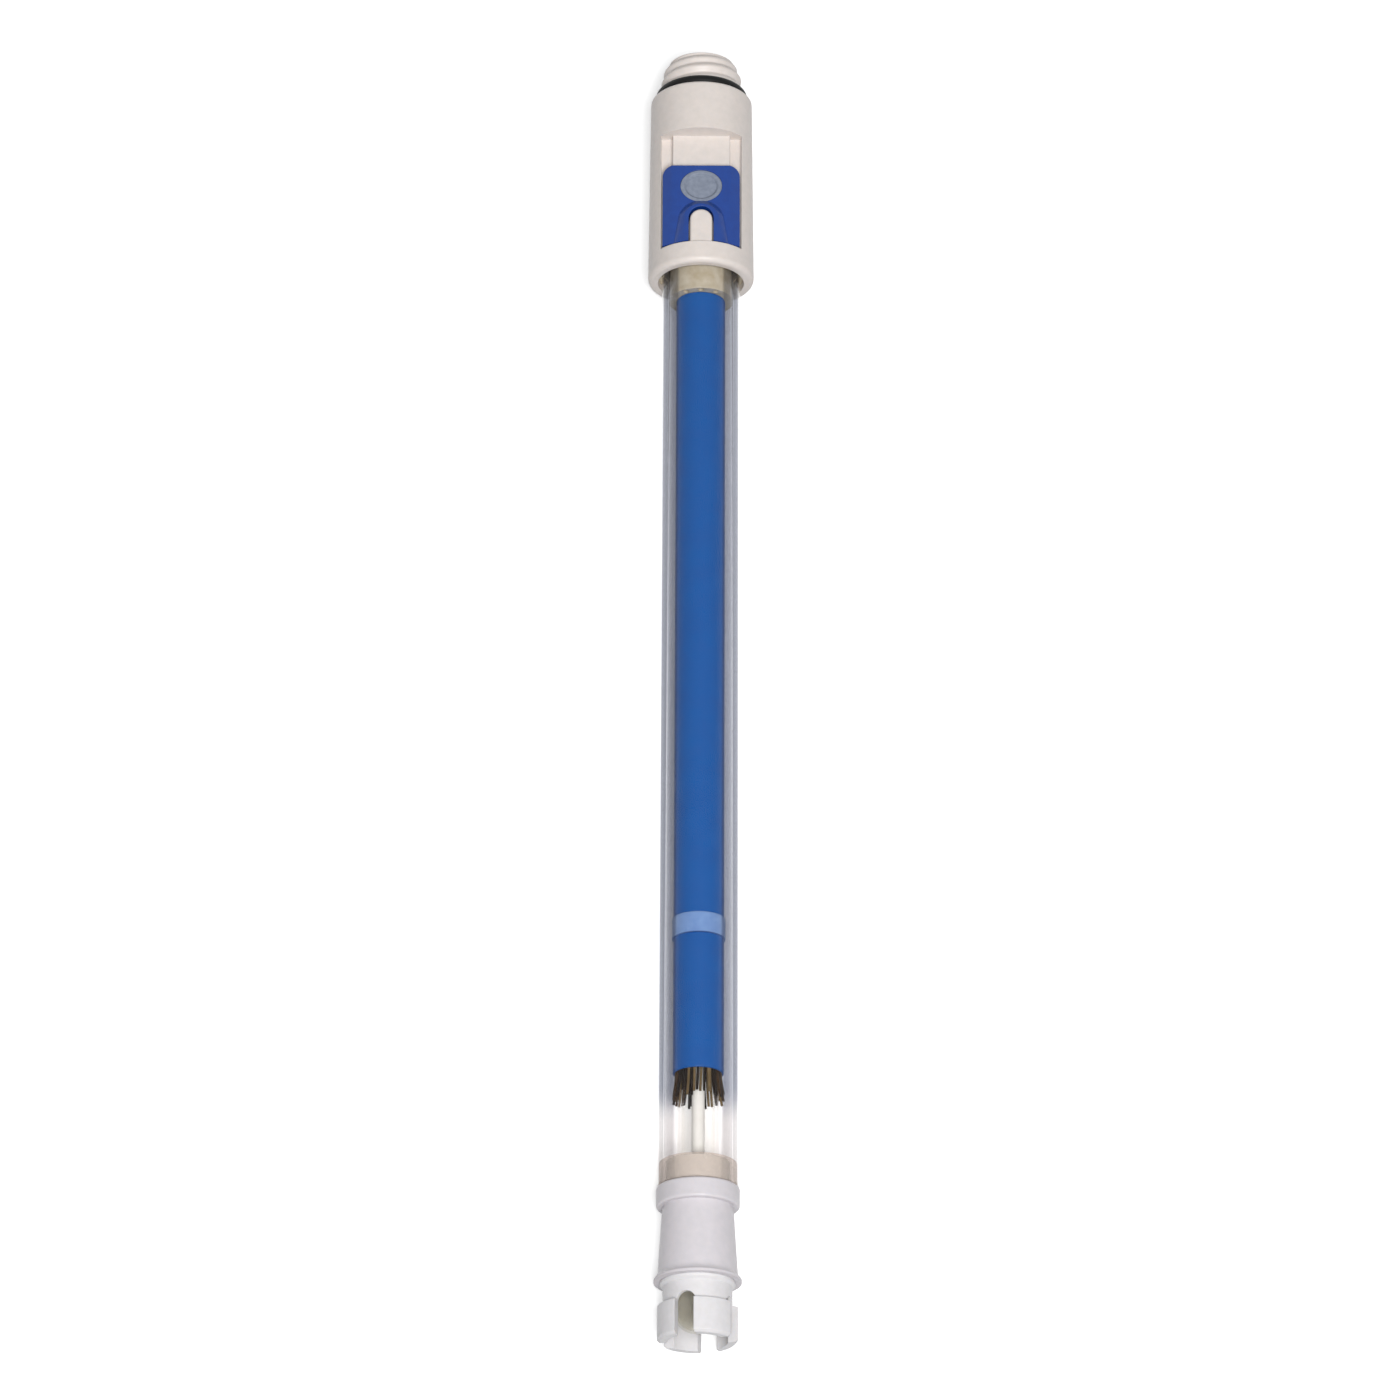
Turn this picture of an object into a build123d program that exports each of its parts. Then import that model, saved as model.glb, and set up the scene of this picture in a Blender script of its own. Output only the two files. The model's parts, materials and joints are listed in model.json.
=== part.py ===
from build123d import *
import os
from math import atan, degrees

# A combination pH electrode with a screw head, a sliding refill closure and a ground junction sleeve.
# Sizes are in millimetres. Every piece is modelled upright: z runs up the shaft from the ends of the
# guard's prongs, and the refill closure faces the front, which is -y. A depth is a distance in front
# of the shaft's axis. The finished electrode is laid on its back, with the closure upwards.

# Clearances
bond_gap = 0.02            # glued, crimped and pressed pieces
cone_gap = 0.03            # junction sleeve on its ground cone
slide_gap = 0.06           # slider on its rail
side_gap = 0.25            # slider beside the trough's walls
end_gap = 0.3              # slider above the head's lower ring
flange_gap = 0.1           # junction sleeve under the end of the tube

# Outer tube and what shows through it
tube_diameter = 12.0
tube_wall = 1.0
shaft_length = 146.1       # bare tube between the junction sleeve and the head
window_length = 12.2       # tube below the ends of the reference wires
sleeve_diameter = 7.5
sleeve_wall = 0.25
sleeve_round = 0.22        # soft shoulder at the sleeves' ends
lower_sleeve_length = 21.0
spacer_diameter = 7.9
spacer_length = 3.1
wire_diameter = 0.4
wire_count = 26
wire_overhang = 5.2        # below the lower sleeve
wire_grip = 6.0            # inside the lower sleeve
wire_flare = 0.75
lead_diameter = 0.36

# Inner glass, with its blown membrane
stem_diameter = 6.1
stem_wall = 0.6
membrane_diameter = 7.0
membrane_length = 7.6
membrane_wall = 0.35
membrane_recess = 1.5      # above the ends of the prongs
membrane_round = 3.0
membrane_shoulder = 0.9
inner_wire_diameter = 0.4
element_diameter = 1.1
element_length = 6.0
insulation_diameter = 1.9

# Guard
prong_count = 4
prong_length = 5.2
prong_diameter = 11.7
prong_chamfer = 0.4
neck_diameter = 10.1
guard_bore = 8.8
guard_length = 8.9         # below the junction sleeve
guard_shoulder_diameter = 11.0
guard_shoulder = 0.8
guard_spigot_diameter = 9.8
guard_spigot = 3.0
slot_width = 2.9
slot_height = 6.4
slot_turn = -20.0          # degrees from the front to the first slot

# Junction sleeve and the cone it sits on
junction_length = 14.3
flange_diameter = 12.2
flange_length = 3.0
barrel_top_diameter = 10.4
barrel_bottom_diameter = 11.6
lip_diameter = 12.8
lip_thickness = 0.4
lip_flare = 1.3
cone_diameter = 9.4        # at the end of the tube
cone_slope = 0.05          # radius lost for each millimetre down the cone
cone_end_gap = 0.4         # between the cone's foot and the guard's spigot
cement_length = 3.7
feed_hole_diameter = 0.8
feed_hole_depth = 9.0
feed_hole_count = 2

# Head
rim_diameter = 16.3
crown_diameter = 15.7
rim_round = 0.8
crown_round = 0.5
ring_height = 3.4
trough_length = 19.6
crown_height = 8.2
skirt_gap = 0.6
tube_seat = 2.0            # tube inside the head
cap_film = 0.4             # potting over the end of the tube
potting_overhang = 3.1     # potting below the rim, inside the tube
potting_recess = 1.0       # potting above the rim, around the tube
vent_diameter = 0.9
vent_count = 3
vent_spacing = 32.0        # degrees
chamber_diameter = 8.0
chamber_mouth = 0.8
seal_bore_diameter = 8.6
seal_height = 12.8         # above the trough's foot
chamber_seal_thickness = 2.0
stopper_plug = 3.5
stopper_head = 1.5
stopper_head_diameter = 6.8

# Refill closure
trough_width = 12.4
rail_depth = 5.0
rail_width = 8.8
rail_height = 1.3
rail_undercut = 0.45
plate_thickness = 1.25
plate_bevel_width = 1.5
plate_bevel_drop = 0.85
leg_clearance = 0.2
slider_travel = 4.7
stop_gap = 0.4             # left above the slider when it is open
slider_corner = 1.5
tongue_width = 3.44
tongue_height = 5.7
tongue_depth = 7.7
tongue_edge = 0.4
notch_gap = 0.2
notch_height = 6.2
hood_half_width = 4.7
hood_depth = 7.75
hood_length = 7.4
port_diameter = 2.5
port_margin = 0.35
pad_width = 6.5
pad_height = 5.7
pad_chamfer = 0.25
pad_inset = 3.7            # pad's centre below the slider's top

# Threaded coupling
stub_height = 6.4
thread_diameter = 12.5
thread_lead_in = 0.8
coupling_neck_diameter = 11.0
ring_section = 1.6
insert_diameter = 12.0
insert_depth = 6.0
socket_diameter = 8.8
socket_floor = 3.0         # below the head's top
throat_diameter = 7.4
insulator_thickness = 1.8
boss_diameter = 3.2
boss_height = 2.0
pin_diameter = 1.6
pin_top = 4.0              # above the head's top
pin_tail = 1.0             # below the insert
shield_wall = 0.35
shield_foot_width = 1.4
shield_top = 5.2           # above the head's top
shield_slots = 4
shield_slot_width = 0.6

# Heights, from the ends of the prongs up
junction_foot = guard_length
flange_foot = junction_foot + junction_length - flange_length
junction_top = junction_foot + junction_length
tube_foot = junction_top + flange_gap
wire_tips = tube_foot + window_length
lower_sleeve_foot = wire_tips + wire_overhang
spacer_foot = lower_sleeve_foot + lower_sleeve_length
upper_sleeve_foot = spacer_foot + spacer_length
rim = tube_foot + shaft_length
potting_foot = rim - potting_overhang
tube_top = rim + tube_seat
socket_top = tube_top + cap_film
trough_foot = rim + ring_height
trough_top = trough_foot + trough_length
head_top = trough_top + crown_height
stub_top = head_top + stub_height
seal_foot = trough_foot + seal_height
seal_top = seal_foot + chamber_seal_thickness
stem_top = seal_top + 0.5
insert_foot = head_top - insert_depth
socket_foot = head_top - socket_floor
insulator_top = socket_foot + insulator_thickness
cone_foot = junction_foot + guard_spigot + cone_end_gap
wire_grip_top = lower_sleeve_foot + wire_grip

# Radii
tube_outer = tube_diameter / 2
tube_inner = tube_outer - tube_wall
stem_outer = stem_diameter / 2
stem_inner = stem_outer - stem_wall
sleeve_outer = sleeve_diameter / 2
sleeve_inner = sleeve_outer - sleeve_wall
wire_circle = stem_outer + bond_gap + wire_diameter / 2
lead_circle = stem_outer + bond_gap + lead_diameter / 2

# Places of the slider and what it covers
slider_foot = trough_foot + end_gap
slider_top = trough_top - slider_travel - stop_gap
slider_width = trough_width - 2 * side_gap
plate_back = rail_depth + slide_gap
plate_front = plate_back + plate_thickness
notch_top = slider_foot + notch_height
pad_centre = slider_top - pad_inset
port_centre = notch_top + slider_travel - port_diameter / 2 - port_margin


def turned(*corners):
    """A solid turned about the shaft's axis from its half section, given as (radius, height) corners."""
    return revolve(Plane.XZ * make_face(Polyline(*corners, close=True)), Axis.Z)


def ring(outer, inner, foot, top):
    """A plain ring or short tube."""
    return turned((inner, foot), (outer, foot), (outer, top), (inner, top))


def rod(radius, foot, top):
    """A plain round bar on the shaft's axis."""
    return Pos(0, 0, foot) * extrude(Circle(radius), top - foot)


def seen_from_front(outline, back, front):
    """A solid with an outline drawn as seen from the front, reaching from one depth to another."""
    return Pos(0, -back, 0) * extrude(Plane.XZ * outline, front - back)


def along_shaft(section, foot, top):
    """A solid with a section drawn across the shaft (x, y), reaching from one height to another."""
    return Pos(0, 0, foot) * extrude(section, top - foot)


def across(*corners):
    """A section across the shaft, given as (x, depth) corners."""
    return make_face(Polyline(*[(x, -depth) for x, depth in corners], close=True))


def round_topped(width, foot, top):
    """An upright outline with a round top."""
    radius = width / 2
    shank = Pos(0, (foot + top - radius) / 2) * Rectangle(width, top - radius - foot)
    return shank + Pos(0, top - radius) * Circle(radius)


def lead_way(foot, top):
    """The clearance hole for the reference lead, behind the stem."""
    return Pos(0, lead_circle, 0) * rod(lead_diameter / 2 + bond_gap, foot, top)


def rail_edge(depth):
    """Half the rail's width at a depth: its sides lean inwards, so that they hold the slider."""
    return rail_width / 2 - rail_undercut * (rail_depth - depth) / rail_height


def rail_section():
    """The refill rail across the shaft."""
    foot = rail_depth - rail_height
    return across((-rail_edge(foot), foot), (rail_edge(foot), foot),
                  (rail_width / 2, rail_depth), (-rail_width / 2, rail_depth))


def tongue():
    """The round-topped guide that stands on the rail, in the slider's notch."""
    outline = round_topped(tongue_width, trough_foot - tongue_edge, trough_foot + tongue_height)
    post = seen_from_front(outline, rail_depth - 0.5, tongue_depth)
    face = post.faces().sort_by(Axis.Y)[0]
    return fillet(face.edges(), tongue_edge)


def head_housing():
    """The moulded head: skirt, trough with the refill rail, port, and crown."""
    shell = turned((0, rim), (rim_diameter / 2, rim), (crown_diameter / 2, head_top), (0, head_top))
    rims = shell.edges().filter_by(GeomType.CIRCLE).sort_by(Axis.Z)
    shell = fillet(rims[0], rim_round)
    rims = shell.edges().filter_by(GeomType.CIRCLE).sort_by(Axis.Z)
    shell = fillet(rims[-1], crown_round)

    half = trough_width / 2
    floor = rail_depth - rail_height
    channel = across((-half, floor), (half, floor), (half, rim_diameter), (-half, rim_diameter))
    shell -= along_shaft(channel - rail_section(), trough_foot, trough_top)
    shell += tongue() & rod(crown_diameter / 2, rim, head_top)

    socket = tube_outer + skirt_gap
    mouth = tube_inner - bond_gap
    chamber = chamber_diameter / 2
    seal_bore = seal_bore_diameter / 2
    insert_bore = insert_diameter / 2 + bond_gap
    shell -= turned((0, rim), (socket, rim), (socket, socket_top), (mouth, socket_top),
                    (chamber, socket_top + chamber_mouth), (chamber, seal_foot), (seal_bore, seal_foot),
                    (seal_bore, insert_foot), (insert_bore, insert_foot), (insert_bore, head_top),
                    (0, head_top))
    port = Pos(0, port_centre) * Circle(port_diameter / 2)
    return shell - seen_from_front(port, stem_outer, rail_depth + plate_thickness)


def hood():
    """The raised hood on the slider, which widens downwards round the notch."""
    sections = []
    for share in (0.0, 0.45, 0.8, 1.0):
        half = hood_half_width * (1 - share) ** 1.4 + tongue_width * 0.45 * share
        peak = plate_front + (hood_depth - plate_front) * (1 - 0.85 * share ** 2)
        base = plate_front - 0.2
        arch = ThreePointArc((-half, -base), (0, -peak), (half, -base))
        face = make_face([arch, Line((half, -base), (-half, -base))])
        sections.append(Pos(0, 0, slider_foot + hood_length * share) * face)
    return loft(sections)


def refill_slider():
    """The sliding closure: a bevelled plate with legs that hook under the rail's edges."""
    half = slider_width / 2
    leg_end = rail_depth - rail_height + leg_clearance
    shoulder = half - plate_bevel_width
    inner = [rail_edge(leg_end) + slide_gap, rail_edge(plate_back) + slide_gap]
    section = across((-half, leg_end), (-half, plate_front - plate_bevel_drop), (-shoulder, plate_front),
                     (shoulder, plate_front), (half, plate_front - plate_bevel_drop), (half, leg_end),
                     (inner[0], leg_end), (inner[1], plate_back), (-inner[1], plate_back),
                     (-inner[0], leg_end))
    plate = along_shaft(section, slider_foot, slider_top)
    length = slider_top - slider_foot
    outline = Pos(0, slider_foot + length / 2) * Rectangle(slider_width, length)
    outline = fillet(outline.vertices().sort_by(Axis.Y)[-2:], slider_corner)
    plate = (plate & seen_from_front(outline, 0, rim_diameter)) + hood()

    notch = round_topped(tongue_width + 2 * notch_gap, slider_foot - 1, notch_top)
    window = Pos(0, pad_centre) * Ellipse(pad_width / 2 + bond_gap, pad_height / 2 + bond_gap)
    return plate - seen_from_front(notch, 0, rim_diameter) - seen_from_front(window, 0, rim_diameter)


def slider_seal():
    """The soft pad, set through the slider, that closes the port."""
    outline = Pos(0, pad_centre) * Ellipse(pad_width / 2, pad_height / 2)
    pad = seen_from_front(outline, plate_back, plate_front)
    face = pad.faces().sort_by(Axis.Y)[0]
    return chamfer(face.edges(), pad_chamfer)


def coupling_insert():
    """The plug that is pressed into the crown and carries the thread and the socket."""
    outer = turned((0, insert_foot), (insert_diameter / 2, insert_foot), (insert_diameter / 2, head_top),
                   (coupling_neck_diameter / 2, head_top),
                   (coupling_neck_diameter / 2, head_top + ring_section + 0.1),
                   (thread_diameter / 2, head_top + ring_section + 0.7),
                   (thread_diameter / 2, stub_top - thread_lead_in),
                   (thread_diameter / 2 - thread_lead_in, stub_top), (0, stub_top))
    socket = turned((0, insert_foot), (throat_diameter / 2, insert_foot), (throat_diameter / 2, socket_foot),
                    (socket_diameter / 2, socket_foot), (socket_diameter / 2, stub_top), (0, stub_top))
    return outer - socket


def coupling_o_ring():
    """The ring seated in the neck below the thread."""
    section = ring_section / 2
    centre = coupling_neck_diameter / 2 + bond_gap + section
    return Pos(0, 0, head_top + bond_gap + section) * Torus(centre, section)


def contact_insulator():
    """The disc and boss that hold the centre contact in the socket."""
    pin = pin_diameter / 2 + bond_gap
    disc = turned((pin, socket_foot), (socket_diameter / 2 - bond_gap, socket_foot),
                  (socket_diameter / 2 - bond_gap, insulator_top), (boss_diameter / 2, insulator_top),
                  (boss_diameter / 2, insulator_top + boss_height), (pin, insulator_top + boss_height))
    return disc - lead_way(insert_foot, insulator_top)


def centre_contact():
    """The pin in the middle of the socket."""
    radius = pin_diameter / 2
    pin = rod(radius, insert_foot - pin_tail, head_top + pin_top)
    tip = pin.edges().filter_by(GeomType.CIRCLE).sort_by(Axis.Z)[-1]
    return fillet(tip, radius * 0.9)


def shield_contact():
    """The slotted contact sleeve that lines the socket, with a foot over the lead."""
    outer = socket_diameter / 2 - bond_gap
    inner = outer - shield_wall
    top = head_top + shield_top
    foot_top = insulator_top + shield_wall
    sleeve = turned((outer - shield_foot_width, insulator_top), (outer, insulator_top), (outer, top),
                    (inner, top), (inner, foot_top), (outer - shield_foot_width, foot_top))
    slot = Pos(0, (foot_top + 1 + top + 1) / 2) * Rectangle(shield_slot_width, top - foot_top)
    cutter = seen_from_front(slot, inner - 1, outer + 1)
    for number in range(shield_slots):
        sleeve -= Rot(0, 0, 45 + number * 360 / shield_slots) * cutter
    return sleeve


def outer_tube():
    """The clear shaft."""
    return ring(tube_outer, tube_inner, tube_foot, tube_top)


def head_potting():
    """The resin that bonds the tube into the head, with vents to the refill chamber."""
    bore = stem_outer + bond_gap
    inside = tube_inner - bond_gap
    outside = tube_outer + bond_gap
    skirt = tube_outer + skirt_gap - bond_gap
    resin = turned((bore, potting_foot), (inside, potting_foot), (inside, tube_top + bond_gap),
                   (outside, tube_top + bond_gap), (outside, rim + potting_recess),
                   (skirt, rim + potting_recess), (skirt, socket_top - bond_gap),
                   (bore, socket_top - bond_gap))
    vent = rod(vent_diameter / 2, potting_foot - 1, socket_top + 1)
    vent_circle = (sleeve_outer + inside) / 2
    for number in range(vent_count):
        turn = (number - (vent_count - 1) / 2) * vent_spacing
        resin -= Rot(0, 0, turn) * Pos(0, -vent_circle, 0) * vent
    return resin - lead_way(potting_foot - 1, socket_top + 1)


def chamber_seal():
    """The rubber washer that closes the refill chamber above the port."""
    washer = ring(seal_bore_diameter / 2 - bond_gap, stem_outer + bond_gap, seal_foot, seal_top)
    return washer - lead_way(seal_foot, seal_top)


def stem_stopper():
    """The bung in the top of the inner glass."""
    plug = stem_inner - bond_gap
    head = stopper_head_diameter / 2
    wire = inner_wire_diameter / 2 + bond_gap
    foot = stem_top + bond_gap
    bung = turned((wire, foot - stopper_plug), (plug, foot - stopper_plug), (plug, foot), (head, foot),
                  (head, foot + stopper_head), (wire, foot + stopper_head))
    return bung - lead_way(foot - stopper_plug, foot + stopper_head)


def blown(radius, membrane_radius, foot, shoulder, top, tip_round):
    """The form of the inner glass, solid: a stem that widens into a round-ended membrane."""
    bulb = rod(membrane_radius, foot, foot + membrane_length)
    ends = bulb.edges().filter_by(GeomType.CIRCLE).sort_by(Axis.Z)
    bulb = fillet(ends[0], tip_round)
    blend = turned((0, foot + membrane_length), (membrane_radius, foot + membrane_length),
                   (radius, foot + membrane_length + shoulder), (0, foot + membrane_length + shoulder))
    return bulb + blend + rod(radius, foot + membrane_length, top)


def inner_glass():
    """The inner stem and its membrane, blown as one piece."""
    outside = blown(stem_outer, membrane_diameter / 2, membrane_recess, membrane_shoulder, stem_top,
                    membrane_round)
    inside = blown(stem_inner, membrane_diameter / 2 - membrane_wall, membrane_recess + membrane_wall,
                   membrane_shoulder, stem_top + 1, membrane_round - membrane_wall)
    return outside - inside


def printed_sleeve(foot, top):
    """A thin sleeve over the inner glass, with soft ends."""
    sleeve = ring(sleeve_outer, sleeve_inner, foot, top)
    outside = sleeve.faces().filter_by(GeomType.CYLINDER).sort_by(SortBy.AREA)[-1]
    return fillet(outside.edges().filter_by(GeomType.CIRCLE), sleeve_round)


def sleeve_spacer():
    """The clear ring between the sleeves."""
    return ring(spacer_diameter / 2, sleeve_inner, spacer_foot + bond_gap, upper_sleeve_foot - bond_gap)


def reference_wires():
    """The brush of fine wires that fans out from under the lower sleeve."""
    bend = lower_sleeve_foot + bond_gap
    held = Line((wire_circle, 0, wire_grip_top), (wire_circle, 0, bend))
    free = TangentArc((wire_circle, 0, bend), (wire_circle + wire_flare, 0, wire_tips), tangent=(0, 0, -1))
    section = Plane(origin=(wire_circle, 0, wire_grip_top), z_dir=(0, 0, -1)) * Circle(wire_diameter / 2)
    wire = sweep(section, path=held + free)
    wires = [Rot(0, 0, 90 + number * 360 / wire_count) * wire for number in range(wire_count)]
    return Compound(children=wires)


def reference_lead():
    """The lead that runs up behind the stem from the wires to the shield contact."""
    return Pos(0, lead_circle, 0) * rod(lead_diameter / 2, wire_grip_top, insulator_top)


def inner_electrode():
    """The wire inside the stem, with its coated element in the membrane."""
    foot = membrane_recess + membrane_wall + membrane_round
    element = rod(element_diameter / 2, foot, foot + element_length)
    end = element.edges().filter_by(GeomType.CIRCLE).sort_by(Axis.Z)[0]
    element = fillet(end, element_diameter * 0.4)
    return element + rod(inner_wire_diameter / 2, foot + element_length, insert_foot - pin_tail)


def lead_insulation():
    """The pale insulation on the inner wire."""
    foot = membrane_recess + membrane_wall + membrane_round + element_length
    return ring(insulation_diameter / 2, inner_wire_diameter / 2 + bond_gap, foot, stem_top - stopper_plug)


def lower_seal():
    """The ring of cement between the tube and the cone's root."""
    return ring(tube_inner - bond_gap, cone_diameter / 2 + bond_gap, tube_foot, tube_foot + cement_length)


def junction_core():
    """The ground cone below the tube, with feed holes for the reference electrolyte."""
    top = cone_diameter / 2
    foot = top - cone_slope * (tube_foot - cone_foot)
    bore = stem_outer + bond_gap
    core = turned((bore, cone_foot), (foot, cone_foot), (top, tube_foot), (top, tube_foot + cement_length),
                  (bore, tube_foot + cement_length))
    hole_circle = (stem_outer + top) / 2
    outlet = tube_foot + cement_length - feed_hole_depth
    down = Pos(hole_circle, 0, 0) * rod(feed_hole_diameter / 2, outlet, tube_foot + cement_length)
    out = Pos(hole_circle, 0, outlet) * Rot(0, 90, 0) * extrude(Circle(feed_hole_diameter / 2), top)
    for number in range(feed_hole_count):
        core -= Rot(0, 0, number * 360 / feed_hole_count) * (down + out)
    return core


def junction_sleeve():
    """The sleeve that slides on the cone: finger flange, barrel and flared lip."""
    lip = lip_diameter / 2
    barrel_foot = junction_foot + lip_thickness + lip_flare
    cone_top = cone_diameter / 2 + cone_gap
    cone_bottom = cone_top - cone_slope * (tube_foot - cone_foot)
    counterbore = guard_spigot_diameter / 2 + bond_gap
    spigot_top = junction_foot + guard_spigot + bond_gap
    barrel = barrel_bottom_diameter / 2
    outline = [
        Line((cone_bottom, spigot_top), (counterbore, spigot_top)),
        Line((counterbore, spigot_top), (counterbore, junction_foot)),
        Line((counterbore, junction_foot), (lip, junction_foot)),
        Line((lip, junction_foot), (lip, junction_foot + lip_thickness)),
        TangentArc((barrel, barrel_foot), (lip, junction_foot + lip_thickness), tangent=(0, -1)),
        Line((barrel, barrel_foot), (barrel_top_diameter / 2, flange_foot)),
        Line((barrel_top_diameter / 2, flange_foot), (flange_diameter / 2, flange_foot)),
        Line((flange_diameter / 2, flange_foot), (flange_diameter / 2, junction_top)),
        Line((flange_diameter / 2, junction_top), (cone_top, junction_top)),
        Line((cone_top, junction_top), (cone_bottom, cone_foot)),
        Line((cone_bottom, cone_foot), (cone_bottom, spigot_top)),
    ]
    sleeve = revolve(Plane.XZ * make_face(outline), Axis.Z)
    flange = [edge for edge in sleeve.edges().filter_by(GeomType.CIRCLE)
              if abs(edge.radius - flange_diameter / 2) < bond_gap]
    return fillet(flange, 0.35)


def membrane_guard():
    """The pronged cage that plugs into the junction sleeve and shields the membrane."""
    prong = prong_diameter / 2
    neck = neck_diameter / 2
    shoulder = guard_shoulder_diameter / 2
    spigot = guard_spigot_diameter / 2
    bore = guard_bore / 2
    cage = turned((bore, 0), (prong - prong_chamfer, 0), (prong, prong_chamfer), (prong, prong_length),
                  (neck, prong_length + 0.2), (neck, guard_length - guard_shoulder),
                  (shoulder, guard_length - guard_shoulder / 2), (shoulder, guard_length - bond_gap),
                  (spigot, guard_length - bond_gap), (spigot, guard_length + guard_spigot),
                  (bore, guard_length + guard_spigot))
    slot = seen_from_front(round_topped(slot_width, -1, slot_height), membrane_round, prong_diameter)
    for number in range(prong_count):
        cage -= Rot(0, 0, slot_turn + number * 360 / prong_count) * slot
    return cage


pieces = {
    "head_housing": head_housing(),
    "refill_slider": refill_slider(),
    "slider_seal": slider_seal(),
    "coupling_insert": coupling_insert(),
    "coupling_o_ring": coupling_o_ring(),
    "contact_insulator": contact_insulator(),
    "centre_contact": centre_contact(),
    "shield_contact": shield_contact(),
    "outer_tube": outer_tube(),
    "head_potting": head_potting(),
    "chamber_seal": chamber_seal(),
    "stem_stopper": stem_stopper(),
    "inner_glass": inner_glass(),
    "upper_sleeve": printed_sleeve(upper_sleeve_foot, potting_foot - bond_gap),
    "sleeve_spacer": sleeve_spacer(),
    "lower_sleeve": printed_sleeve(lower_sleeve_foot, spacer_foot),
    "reference_wires": reference_wires(),
    "reference_lead": reference_lead(),
    "inner_electrode": inner_electrode(),
    "lead_insulation": lead_insulation(),
    "lower_seal": lower_seal(),
    "junction_core": junction_core(),
    "junction_sleeve": junction_sleeve(),
    "membrane_guard": membrane_guard(),
}

# The electrode lies on its back on the head's rim and the junction sleeve's lip, head towards +Y.
draft = (rim_diameter - crown_diameter) / 2 / (head_top - rim)
rim_rest = rim_diameter / 2 - draft * rim_round
lie = degrees(atan((rim_rest - lip_diameter / 2) / (rim + rim_round - junction_foot - lip_thickness)))
on_its_back = Rot(-90 + lie, 0, 0)
box = Compound(children=[on_its_back * piece for piece in pieces.values()]).bounding_box()
laid = Pos(0, -(box.min.Y + box.max.Y) / 2, -box.min.Z) * on_its_back

os.makedirs("parts", exist_ok=True)
for name, piece in pieces.items():
    export_step(laid * piece, f"parts/{name}.step")
print(f"tilt {lie:.4f} degrees, length {box.size.Y:.3f}, width {box.size.X:.3f}, height {box.size.Z:.3f}")
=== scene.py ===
import json
import math
import random

import bmesh
import bpy
from mathutils import Matrix, Vector


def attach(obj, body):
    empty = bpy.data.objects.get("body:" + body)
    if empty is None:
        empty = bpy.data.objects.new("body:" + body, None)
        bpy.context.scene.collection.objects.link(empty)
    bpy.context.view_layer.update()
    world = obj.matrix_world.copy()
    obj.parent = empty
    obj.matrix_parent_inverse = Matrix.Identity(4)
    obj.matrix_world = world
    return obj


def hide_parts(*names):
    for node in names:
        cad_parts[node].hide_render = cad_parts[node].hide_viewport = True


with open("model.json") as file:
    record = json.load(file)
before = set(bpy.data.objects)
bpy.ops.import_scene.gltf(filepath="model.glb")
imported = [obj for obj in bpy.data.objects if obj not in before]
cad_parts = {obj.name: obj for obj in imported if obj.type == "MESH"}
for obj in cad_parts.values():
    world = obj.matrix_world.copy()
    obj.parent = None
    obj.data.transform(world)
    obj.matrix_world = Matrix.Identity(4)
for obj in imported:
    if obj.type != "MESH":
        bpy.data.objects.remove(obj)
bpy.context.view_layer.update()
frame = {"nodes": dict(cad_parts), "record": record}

# Upright frame: x to the right, depth towards the side of the refill closure and height up the shaft
# from the ends of the prongs, in millimetres. The record's mounts give its origin and the shaft's
# direction in the row's frame, which is in metres.
MM = 0.001
MOUNTS = {mount["name"]: mount for mount in frame["record"]["mounts"]}
ORIGIN = Vector(MOUNTS["wetting_cap"]["pos_m"])
UP = -Vector(MOUNTS["wetting_cap"]["axis"]).normalized()
SIDE = Vector((1, 0, 0))
FRONT = SIDE.cross(UP)

# Tube and seal
TUBE_WALL = 1.0
TUBE_ROUND = 0.25             # at the tube's ends
BORE_DEPTH = 0.1              # how far into the wall the bore's material reaches there
STEM_RADIUS = 3.05
SEAL_GAP = 0.05               # between the seal and the stem
SEAL_LOOK = 5.7               # the wall's refraction makes the seal look as wide as the tube
SEAL_ROUND = 0.2
LATHE_SIDES = 160
CORNER_SHARE = 0.45           # the most of a side that a rounded corner may take
MEMBRANE_LENGTH = 8.0

# Threaded stub
THREAD_SIDES = 180
THREAD_STEPS = 70
THREAD_PITCH = 1.8
THREAD_DEPTH = 0.45
THREAD_SHARPNESS = 0.8
THREAD_FADE_IN = 0.4          # length over which the thread rises at its foot
THREAD_FADE_OUT = 0.5         # and sinks at its top
LEAD_IN = 3.2
LEAD_IN_DROP = 1.2
INSERT_RADIUS = 6.0           # below the O-ring
NECK_RADIUS = 5.5             # inside the O-ring
SOCKET_RADIUS = 4.4
SOCKET_DEPTH = 3.0            # below the O-ring's foot
RING_SEAT = 0.02              # by which the seat lies below the O-ring
RING_CLEAR = (0.05, 0.1)      # above the O-ring, where the neck ends and the thread starts

# Slide closure. The plate is the part of the slider that faces the front.
SLIDER_LENGTH = 13.5
SLIDER_CORNER = 1.5
PLATE_FRONT = 6.31
PLATE_THICK = 1.25
PLATE_BEVEL = (1.5, 0.85)     # across and deep
GROOVE_HALF = 4.5
NOTCH_WIDTH = 3.84
NOTCH_TOP = 178.9
HOOD_DEPTH = 7.75
HOOD_WALL = 0.45
HOOD_SLOPE = 40.0             # degrees that its flanks lean
HOOD_FOOT = 6.2
HOOD_SUNK = 0.5               # into the plate, before the two are joined
CUT_DEPTH = 12.0              # how far in front of the axis the cuts reach
PAD_CENTRE = 183.1
PAD_HALF = (3.23, 2.72)
PAD_SIDES = 72

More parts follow.
